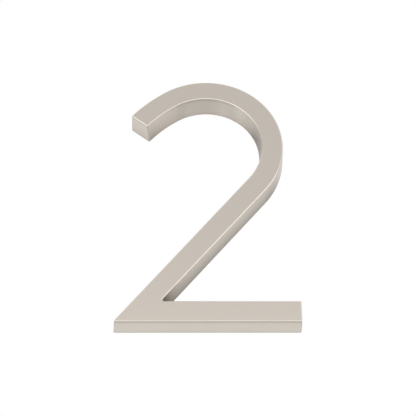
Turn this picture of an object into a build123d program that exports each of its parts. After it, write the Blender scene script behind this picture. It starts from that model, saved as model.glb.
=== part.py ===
from build123d import *
import os
from math import asin, atan2, degrees, radians, tan

# House number 2: a numeral die-cast in zinc, which two threaded studs hold to a wall.
# It stands as it hangs. X is the reader's right, Z is up, and the flat back lies on the wall at Y = 0,
# so the face looks towards -Y. The origin is midway between the two stud holes. Sizes are in mm.

# Casting
height = 127.0  # at the back, where the draft leaves the numeral tallest
depth = 12.7  # from the wall to the face
draft_angle = 3.1  # degrees by which every side wall leans out towards the back
edge_round = 0.6  # round the face and down the corners
back_break = 0.2  # round the back, where the burr is polished off

# Outline of the face
bar_length = 81.7
bar_height = 9.55
bar_reach = 39.7  # from the hook's centre out to the bar's toe
leg_stroke = 9.55  # width of the leg at the bar, from which it widens into the hook
hook_stroke = 10.0
hook_radius = 37.0  # to the outside
arm_radius = 71.0  # to the outside, on the flatter stretch that ends the hook
arm_start = 122.3  # degrees round the hook from the reader's right, where the arm begins
arm_sweep = 17.5  # degrees along the outside of the arm
cut_lean = 0.45  # degrees by which the inside of the arm stops short of the outside

# Stud holes, tapped M4 into the back of the hook and of the bar
stud_radius = 2.0  # to the bottom of the thread
stud_cover = 3.5  # metal between the tip of a hole and the face
drill_tip = 1.2  # length of the cone that the drill leaves
mouth_chamfer = 0.25

flare = depth * tan(radians(draft_angle))
face_height = height - 2 * flare
stud_spacing = face_height - (hook_stroke + bar_height) / 2
stud_depth = depth - stud_cover - drill_tip
bar_bottom = -(stud_spacing + bar_height) / 2
bar_top = bar_bottom + bar_height
hook_inside = hook_radius - hook_stroke
hook_centre = Vector(0, bar_bottom + face_height - hook_radius)


def leg_angle(corner, radius):
    """Degrees at which a line climbs from a corner to touch the right of a circle round the hook's centre."""
    reach = hook_centre - corner
    return degrees(atan2(reach.Y, reach.X) - asin(radius / reach.length))


with BuildPart() as numeral:
    # The outline runs from the bar's toe up the leg, round the hook, and back down to the bar
    with BuildSketch(Plane.XZ):
        with BuildLine():
            toe = Vector(-bar_reach, bar_bottom)
            left_angle = leg_angle(toe, hook_inside)
            hook_in = CenterArc(hook_centre, hook_inside, left_angle - 90, arm_start - left_angle + 90)
            arm_in = JernArc(hook_in @ 1, hook_in % 1, arm_radius - hook_stroke, arm_sweep - cut_lean)
            leg_in = Line(toe, hook_in @ 0)

            climb = leg_in % 0
            crotch = Vector(toe.X + (bar_height * climb.X + leg_stroke) / climb.Y, bar_top)
            right_angle = leg_angle(crotch, hook_radius)
            hook_out = CenterArc(hook_centre, hook_radius, right_angle - 90, arm_start - right_angle + 90)
            arm_out = JernArc(hook_out @ 1, hook_out % 1, arm_radius, arm_sweep)
            Line(crotch, hook_out @ 0)

            Line(arm_in @ 1, arm_out @ 1)
            heel = Vector(toe.X + bar_length, bar_bottom)
            shoulder = Vector(heel.X, bar_top)
            Polyline(toe, heel, shoulder, crotch)
        make_face()
    extrude(amount=depth)

    # Every wall leans out from the face, so that the casting leaves its die
    walls = numeral.faces() - numeral.faces().filter_by(Axis.Y)
    draft(walls, Plane.XZ.offset(depth), draft_angle)

    # The face and the corners are rounded together, and the back's rim is only broken
    outline_corners = [toe, heel, shoulder, crotch, arm_in @ 1, arm_out @ 1]
    halfway = [Vector(corner.X, -depth / 2, corner.Y) for corner in outline_corners]
    corners = [numeral.edges().sort_by_distance(point)[0] for point in halfway]
    face_rim = numeral.faces().sort_by(Axis.Y)[0].edges()
    fillet(corners + face_rim, edge_round)
    back_rim = numeral.faces().sort_by(Axis.Y)[-1].edges()
    fillet(back_rim, back_break)

    # The stud holes stand one above the other, in the middle of the hook's crown and of the bar
    back = Plane(origin=(0, 0, 0), x_dir=(1, 0, 0), z_dir=(0, 1, 0))
    with Locations(back):
        with GridLocations(0, stud_spacing, 1, 2):
            CounterSinkHole(stud_radius, stud_radius + mouth_chamfer, stud_depth, counter_sink_angle=90)
            with Locations((0, 0, -stud_depth)):
                Cone(
                    stud_radius,
                    0,
                    drill_tip,
                    rotation=(180, 0, 0),
                    align=(Align.CENTER, Align.CENTER, Align.MIN),
                    mode=Mode.SUBTRACT,
                )

os.makedirs("parts", exist_ok=True)
numeral.part.label = "numeral"
export_step(numeral.part, "parts/numeral.step")
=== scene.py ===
from math import cos, pi, radians, sin

import bmesh
import bpy
from mathutils import Matrix, Vector


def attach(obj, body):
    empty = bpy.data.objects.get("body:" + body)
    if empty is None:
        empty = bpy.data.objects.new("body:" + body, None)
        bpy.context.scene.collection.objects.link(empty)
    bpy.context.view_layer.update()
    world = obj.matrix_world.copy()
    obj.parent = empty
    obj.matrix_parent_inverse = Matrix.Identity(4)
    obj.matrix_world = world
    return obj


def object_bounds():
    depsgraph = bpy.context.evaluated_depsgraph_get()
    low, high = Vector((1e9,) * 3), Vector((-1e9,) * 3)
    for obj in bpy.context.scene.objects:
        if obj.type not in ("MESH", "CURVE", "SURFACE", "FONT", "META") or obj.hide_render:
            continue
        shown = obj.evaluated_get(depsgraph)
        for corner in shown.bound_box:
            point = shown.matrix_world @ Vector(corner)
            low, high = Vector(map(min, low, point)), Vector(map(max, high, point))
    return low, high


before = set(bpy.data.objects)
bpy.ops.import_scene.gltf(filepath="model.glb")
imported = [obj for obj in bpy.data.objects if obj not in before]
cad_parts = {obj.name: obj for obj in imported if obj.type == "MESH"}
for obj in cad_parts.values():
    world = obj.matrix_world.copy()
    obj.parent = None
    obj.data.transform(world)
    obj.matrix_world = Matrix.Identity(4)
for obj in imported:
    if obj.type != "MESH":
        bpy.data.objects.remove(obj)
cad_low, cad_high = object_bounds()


# The casting: the whole numeral, die-cast in zinc, plated with nickel and brushed satin along the reading
# direction. The rim of the face has a painted highlight and is a little smoother. Painted shade darkens the
# walls inside the hook and under the leg, a line behind the rim, the back edge, and most of all the corner
# by the bar.

class Socket:
    """An output of a shader node. Arithmetic on it adds Math nodes to its tree."""

    def __init__(self, tree, output=None):
        self.tree = tree
        self.output = output

    def node(self, kind, settings, inputs, output=0):
        """A new node in the same tree: its settings come first, then its sockets' values or links."""
        made = self.tree.nodes.new("ShaderNode" + kind)
        for name, value in settings.items():
            setattr(made, name, value)
        for name, value in inputs.items():
            if isinstance(value, Socket):
                self.tree.links.new(value.output, made.inputs[name])
            else:
                made.inputs[name].default_value = value
        return Socket(self.tree, made.outputs[output] if made.outputs else None)

    def math(self, operation, *values):
        return self.node("Math", {"operation": operation}, dict(enumerate(values)))

    def __add__(self, other):
        return self.math("ADD", self, other)

    def __radd__(self, other):
        return self.math("ADD", other, self)

    def __sub__(self, other):
        return self.math("SUBTRACT", self, other)

    def __rsub__(self, other):
        return self.math("SUBTRACT", other, self)

    def __mul__(self, other):
        return self.math("MULTIPLY", self, other)

    def __rmul__(self, other):
        return self.math("MULTIPLY", other, self)


def new_material(name):
    """An empty material, and a socket that starts its node tree."""
    material = bpy.data.materials.new(name)
    material.use_nodes = True
    material.node_tree.nodes.clear()
    return material, Socket(material.node_tree)


def show(tree, shader):
    """Connects a shader to the output of its tree."""
    tree.node("OutputMaterial", {}, {"Surface": shader})


def blend(tree, share, colour, other):
    """A colour that turns into another one as the share goes from 0 to 1."""
    return tree.node("Mix", {"data_type": "RGBA"}, {"Factor": share, "A": colour, "B": other}, "Result")


def satin_nickel():
    """Brushed plating, with a painted highlight on the rim of the face and painted shade on sheltered walls
    and the corner.
    """
    material, tree = new_material("satin_nickel")
    place = tree.node("TexCoord", {}, {}, "Object")
    normal = tree.node("NewGeometry", {}, {}, "Normal")

    def vector(operation, first, second, output=0):
        return tree.node("VectorMath", {"operation": operation}, {0: first, 1: second}, output)

    def along(arrow, axis):
        """How far a vector reaches along one axis."""
        return tree.node("SeparateXYZ", {}, {"Vector": arrow}, axis)

    def ramp(value, start, end):
        """Rises from 0 to 1 as the value goes from start to end."""
        return tree.node("MapRange", {}, {"Value": value, "From Min": start, "From Max": end})

    # The brushing: hairs on the face and the back, streaks on the walls, faint clouds and swells all over.
    cloud_size = 0.011
    swell_size = 0.006
    hair_width = 0.00012
    hair_length = 0.0022
    streak_width = 0.0005
    streak_length = 0.012

    def grain(x, y, z, detail):
        """Noise stretched to these lengths along the axes."""
        stretched = vector("MULTIPLY", place, (1 / x, 1 / y, 1 / z))
        return tree.node("TexNoise", {}, {"Vector": stretched, "Scale": 1.0, "Detail": detail})

    cloud = grain(cloud_size, cloud_size, cloud_size, detail=3.0)
    swell = grain(swell_size, swell_size, swell_size, detail=1.0)
    hair = grain(hair_length, hair_width, hair_width, detail=2.0)
    streak = grain(streak_length, streak_width, streak_length, detail=2.0)
    towards_face = tree.math("ABSOLUTE", along(normal, "Y"))
    brushed = towards_face * hair + (1.0 - towards_face) * streak

    # Where on a wall: the foot is 0 at the rim and 1 at the back edge. The sheltered walls, which get
    # painted shade, look to the left or steeply down, which the inside of the hook and the underside of the
    # leg do.
    wall_depth = 0.012
    in_plane = (1.0, 0.0, 1.0)
    leftwards = (-1.0, 0.0, 0.0)
    sheltered_way = (-1.0, 0.0, -3.0)
    hollow_from = 0.84
    depth = along(place, "Y")
    foot = ramp(depth, -wall_depth, 0.0)
    to_right = tree.math("MAXIMUM", along(normal, "X"), 0.0)
    to_left = tree.math("MAXIMUM", -1.0 * along(normal, "X"), 0.0)
    downwards = tree.math("MAXIMUM", -1.0 * along(normal, "Z"), 0.0)
    lean = tree.node("VectorMath", {"operation": "NORMALIZE"}, {0: vector("MULTIPLY", normal, in_plane)})
    sheltered = ramp(vector("DOT_PRODUCT", lean, sheltered_way, "Value"), 0.0, 1.0)
    hollow = sheltered * ramp(vector("DOT_PRODUCT", lean, leftwards, "Value"), hollow_from, 1.0)

    # The painted shade on the walls: how strongly the shade colour shows in each place. A higher power is
    # narrower.
    side_power = 4.5
    leg_shade = 1.95
    hook_shade = 1.1
    hollow_shade = 0.52
    edge_shade = 0.22
    edge_power = 6.0
    line_shade = 0.28
    line_power = 4.0
    line_depth = 0.0117
    line_reach = 0.0010
    most_shade = 0.84
    under_leg = leg_shade * sheltered * foot * tree.math("POWER", to_right, side_power)
    in_hook = hook_shade * sheltered * foot * tree.math("POWER", to_left, side_power)
    in_hook = in_hook + hollow_shade * hollow
    back_edge = edge_shade * tree.math("POWER", foot, edge_power)
    near_line = 1.0 - 1 / line_reach * tree.math("ABSOLUTE", depth + line_depth)
    near_line = tree.math("MAXIMUM", near_line, 0.0)
    behind_rim = line_shade * tree.math("POWER", downwards, line_power) * near_line
    shade_amount = tree.math("MINIMUM", under_leg + in_hook + back_edge + behind_rim, most_shade)

    # The corner between leg and bar: painted shade all over it, darkest at the back.
    crotch = (-0.0191, 0.0, -0.0531)
    corner_way = (1.0, 0.0, 0.2)
    corner_full = 0.4
    corner_reach = 0.0046
    corner_shade = 1.45
    corner_back_shade = 1.6
    from_crotch = vector("DISTANCE", vector("MULTIPLY", place, in_plane), crotch, "Value")
    corner = ramp(vector("DOT_PRODUCT", normal, corner_way, "Value"), 0.0, corner_full)
    corner = corner * tree.math("EXPONENT", -1 / corner_reach * from_crotch)
    # What is left of the plating colour after the painted shade; the face keeps all of it.
    unshaded = (1.0 - shade_amount) * (1.0 - (corner_shade + corner_back_shade * foot) * corner)
    unshaded = towards_face + (1.0 - towards_face) * tree.math("MAXIMUM", unshaded, 0.0)

    # The rim, where the surface turns from the face to a wall, gets a painted highlight in a lighter colour
    # and is a little smoother. It is fainter inside the hook.
    rim_gain = 23.0
    rim_power = 8.0
    rim_lost_in_hook = 0.8
    rim = rim_gain * tree.math("POWER", towards_face, rim_power) * (1.0 - towards_face)
    rim = rim * (1.0 - rim_lost_in_hook * hollow)

    nickel = (0.530, 0.487, 0.436, 1.0)
    warm_nickel = (0.522, 0.474, 0.418, 1.0)
    # Painted shade: the dark colour that the shaded walls and the corner are blended towards.
    painted_shade_nickel = (0.132, 0.105, 0.080, 1.0)
    # Painted highlight: the light colour that the rim is blended towards.
    painted_highlight_nickel = (0.750, 0.689, 0.618, 1.0)
    colour = blend(tree, cloud, nickel, warm_nickel)
    colour = blend(tree, unshaded, painted_shade_nickel, colour)
    colour = blend(tree, rim, colour, painted_highlight_nickel)

    satin = 0.31
    brushed_spread = 0.06
    cloud_spread = 0.03
    rim_gloss = 0.07
    brushed_height = 0.000004
    brushed_strength = 0.15
    swell_height = 0.00001
    swell_strength = 0.3
    roughness = satin + brushed_spread * brushed + cloud_spread * cloud - rim_gloss * rim
    bump = tree.node(
        "Bump", {}, {"Strength": brushed_strength, "Distance": brushed_height, "Height": brushed}
    )
    bump = tree.node(
        "Bump", {}, {"Strength": swell_strength, "Distance": swell_height, "Height": swell, "Normal": bump}
    )
    show(tree, tree.node(
        "BsdfPrincipled",
        {},
        {"Base Color": colour, "Metallic": 1.0, "Roughness": roughness, "Normal": bump},
    ))
    return material


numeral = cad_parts["numeral"]
numeral.data.materials[0] = satin_nickel()


# The stud threads: M4 ridges that a tap cuts in the two holes in the back, before the plating. Each starts
# below the mouth of its hole and gets lower over its last turns, where the tap itself is tapered.

stud_rise = 0.0579245
bore_radius = 0.0020
thread_pitch = 0.0007


def thread_ridge(name, rise):
    """One helical ridge with a flat crest, round a hole that is this far above the origin."""
    crest_radius = 0.00162
    sunk_in_wall = 0.00003
    seat_radius = bore_radius + sunk_in_wall
    foot_width = 0.9 * thread_pitch
    crest_width = 0.25 * thread_pitch
    first_depth = 0.0007
    turns = 9.6
    lead_in = 0.5
    lead_out = 2.5
    lowest_share = 0.05
    steps_per_turn = 32

    shape = bmesh.new()
    rings = []
    for step in range(round(turns * steps_per_turn) + 1):
        turn = step / steps_per_turn
        full = min(1.0, lowest_share + turn / lead_in, lowest_share + (turns - turn) / lead_out)
        crest = seat_radius + full * (crest_radius - seat_radius)
        crest_half = (foot_width + full * (crest_width - foot_width)) / 2
        profile = [
            (seat_radius, foot_width / 2),
            (crest, crest_half),
            (crest, -crest_half),
            (seat_radius, -foot_width / 2),
        ]
        angle = 2 * pi * turn
        middle = -first_depth - turn * thread_pitch
        rings.append([
            shape.verts.new((radius * cos(angle), middle + offset, rise + radius * sin(angle)))
            for radius, offset in profile
        ])
    for here, there in zip(rings, rings[1:]):
        for corner in range(len(here)):
            after = (corner + 1) % len(here)
            flank = shape.faces.new((here[corner], here[after], there[after], there[corner]))
            flank.smooth = True
            shape.edges.get((here[corner], there[corner])).smooth = False
    shape.faces.new(rings[0])
    shape.faces.new(rings[-1])
    bmesh.ops.recalc_face_normals(shape, faces=shape.faces)
    mesh = bpy.data.meshes.new(name)
    shape.to_mesh(mesh)
    shape.free()
    ridge = bpy.data.objects.new(name, mesh)
    bpy.context.scene.collection.objects.link(ridge)
    return ridge


def tapped_nickel():
    """Plating that no wheel reaches: duller than the rest, with the tap's fine marks across the ridge."""
    bright = (0.470, 0.432, 0.388, 1.0)
    dark = (0.330, 0.302, 0.270, 1.0)
    mark_size = 0.00015
    mark_height = 0.000008
    mark_strength = 0.3
    smoothest = 0.34
    mark_spread = 0.12
    material, tree = new_material("tapped_nickel")
    place = tree.node("TexCoord", {}, {}, "Object")
    marks = tree.node("TexNoise", {}, {"Vector": place, "Scale": 1 / mark_size, "Detail": 2.0})
    colour = blend(tree, marks, bright, dark)
    roughness = smoothest + mark_spread * marks
    bump = tree.node("Bump", {}, {"Strength": mark_strength, "Distance": mark_height, "Height": marks})
    show(tree, tree.node(
        "BsdfPrincipled",
        {},
        {"Base Color": colour, "Metallic": 1.0, "Roughness": roughness, "Normal": bump},
    ))
    return material


thread_finish = tapped_nickel()
for name, rise in (("thread_upper", stud_rise), ("thread_lower", -stud_rise)):
    ridge = thread_ridge(name, rise)
    ridge.data.materials.append(thread_finish)
    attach(ridge, "root")


# The room that the numeral is seen in: evenly white, with a plain pale floor well below the numeral and
# six soft boxes round it, a little lower than it is. They are wide and weak, so that no side of the
# metal glares.

floor_drop = 0.65
floor_reach = 20.0
floor_grey = (0.66, 0.66, 0.65, 1.0)
room_white = (1.0, 1.0, 1.0, 1.0)


def matt_paint(name, colour):
    material, tree = new_material(name)
    show(tree, tree.node("BsdfDiffuse", {}, {"Color": colour}))
    return material


corners = [(-1, -1), (1, -1), (1, 1), (-1, 1)]
floor_mesh = bpy.data.meshes.new("floor")
floor_mesh.from_pydata(
    [(x * floor_reach, y * floor_reach, cad_low.z - floor_drop) for x, y in corners], [], [(0, 1, 2, 3)]
)
floor = bpy.data.objects.new("floor", floor_mesh)
bpy.context.scene.collection.objects.link(floor)
floor.data.materials.append(matt_paint("floor_paint", floor_grey))

world = bpy.data.worlds.new("white_room")
world.use_nodes = True
world.node_tree.nodes.clear()
sky = Socket(world.node_tree)
glow = sky.node("Background", {}, {"Color": room_white, "Strength": 1.0})
sky.node("OutputWorld", {}, {"Surface": glow})
bpy.context.scene.world = world


def soft_lamp(name, place, width, length, power):
    """A rectangular soft box that faces the numeral."""
    lamp = bpy.data.lights.new(name, "AREA")
    lamp.shape = "RECTANGLE"
    lamp.size = width
    lamp.size_y = length
    lamp.energy = power
    box = bpy.data.objects.new(name, lamp)
    box.location = place
    box.rotation_euler = (-Vector(place)).to_track_quat("-Z", "Y").to_euler()
    box.visible_camera = False
    bpy.context.scene.collection.objects.link(box)


soft_lamp("front_lamp", (0.0, -0.86, -0.16), width=1.20, length=0.62, power=1.90)
soft_lamp("left_lamp", (-0.64, -0.45, -0.20), width=0.80, length=0.60, power=1.10)
soft_lamp("right_lamp", (0.76, -0.20, -0.20), width=0.80, length=0.60, power=1.40)
soft_lamp("back_left_lamp", (-0.67, 0.53, -0.27), width=0.38, length=0.37, power=0.58)
soft_lamp("back_lamp", (-0.03, 0.85, -0.30), width=0.78, length=0.33, power=0.92)
soft_lamp("back_right_lamp", (0.65, 0.56, -0.27), width=0.38, length=0.37, power=0.43)


# The camera stands in front of the numeral and below it, and looks up at its face. It is turned and rolled
# by less than half a degree.

level = 90.0
upward = 27.55
turned = 0.43
rolled = 0.12
lens = bpy.data.cameras.new("camera")
lens.sensor_width = 36.0
lens.lens = 72.90
camera = bpy.data.objects.new("camera", lens)
camera.location = (0.00390, -0.35589, -0.18670)
pitch = Matrix.Rotation(radians(level + upward), 3, "X")
turn = Matrix.Rotation(radians(turned), 3, "Z")
roll = Matrix.Rotation(radians(rolled), 3, "Z")
camera.rotation_euler = (turn @ pitch @ roll).to_euler()
bpy.context.scene.collection.objects.link(camera)
bpy.context.scene.camera = camera

bpy.context.scene.view_settings.view_transform = "Standard"
